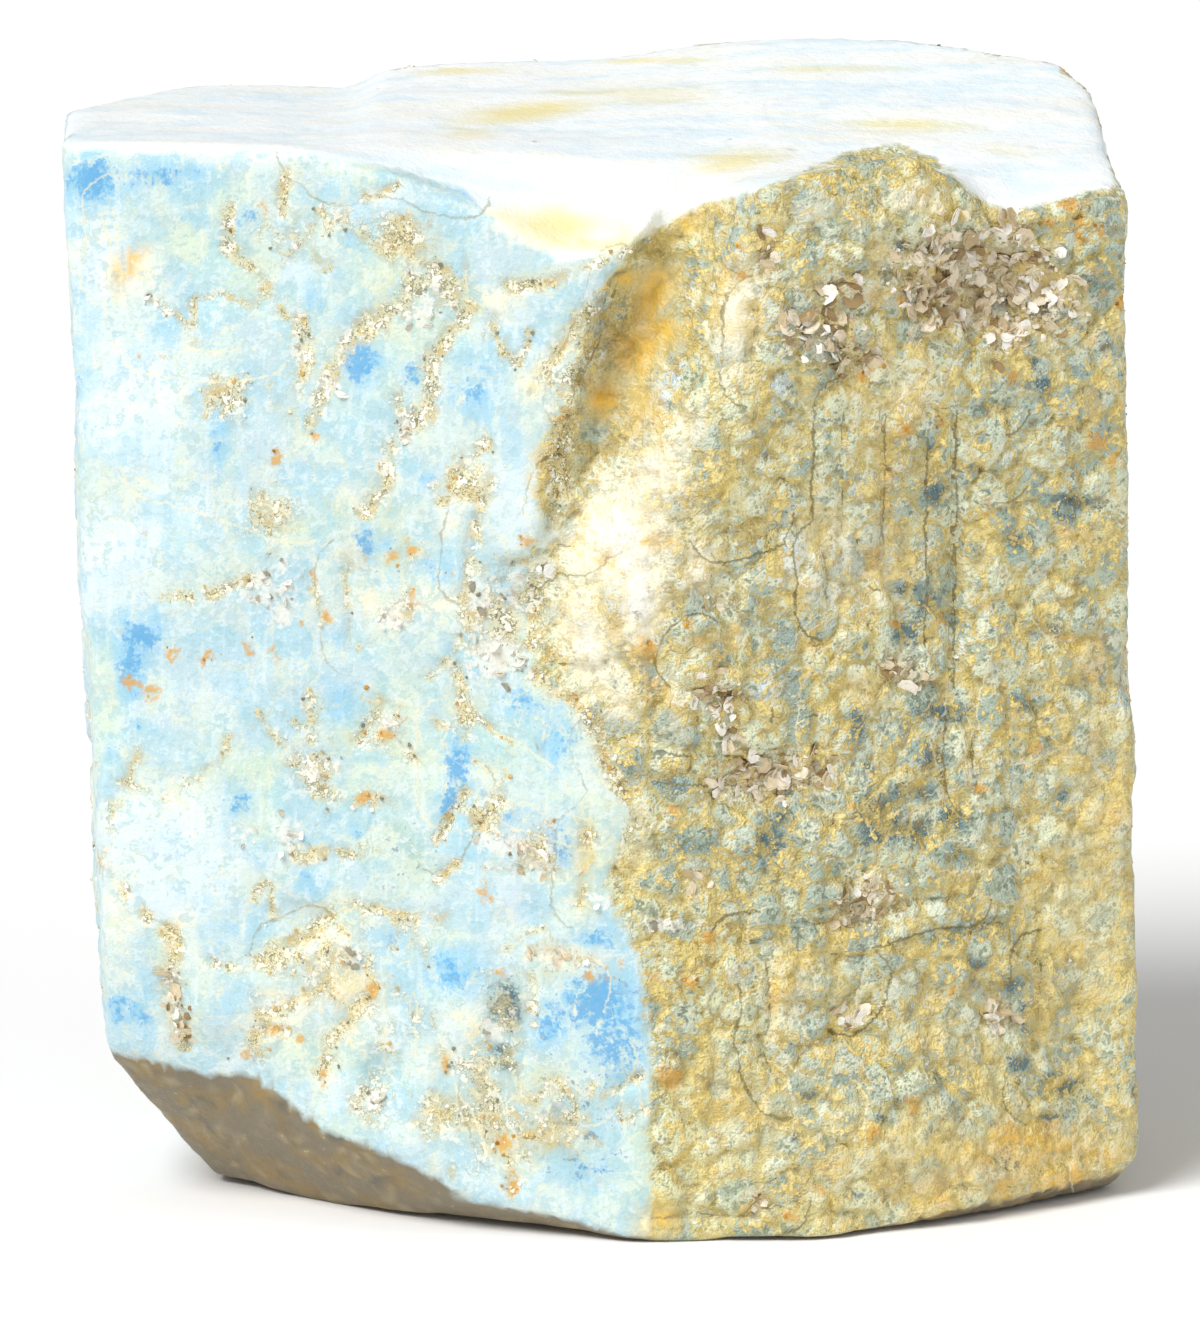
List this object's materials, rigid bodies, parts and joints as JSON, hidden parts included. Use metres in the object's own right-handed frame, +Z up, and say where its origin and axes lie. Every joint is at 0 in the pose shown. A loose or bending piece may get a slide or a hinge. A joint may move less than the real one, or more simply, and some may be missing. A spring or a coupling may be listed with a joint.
{
  "type": "aquamarine specimen",
  "caption": "Broken block of massive blue-green beryl with two prism faces in front, a smooth parted top and an undercut lower corner, resting on small flats.",
  "frame": {"origin": "middle of the underside of the block's box, on the surface that the block stands on", "axes": "+Z up, +X to the right as one faces the crest between the two prism faces, +Y away from the viewer"},
  "size_m": [0.0746, 0.0496, 0.0755],
  "materials": {
    "beryl": "pale sky-blue and grey-green massive beryl with iron-stained cracks and nests of mica, matt to waxy"
  },
  "bodies": {
    "root": {"beryl_block": "beryl"}
  },
  "joints": []
}
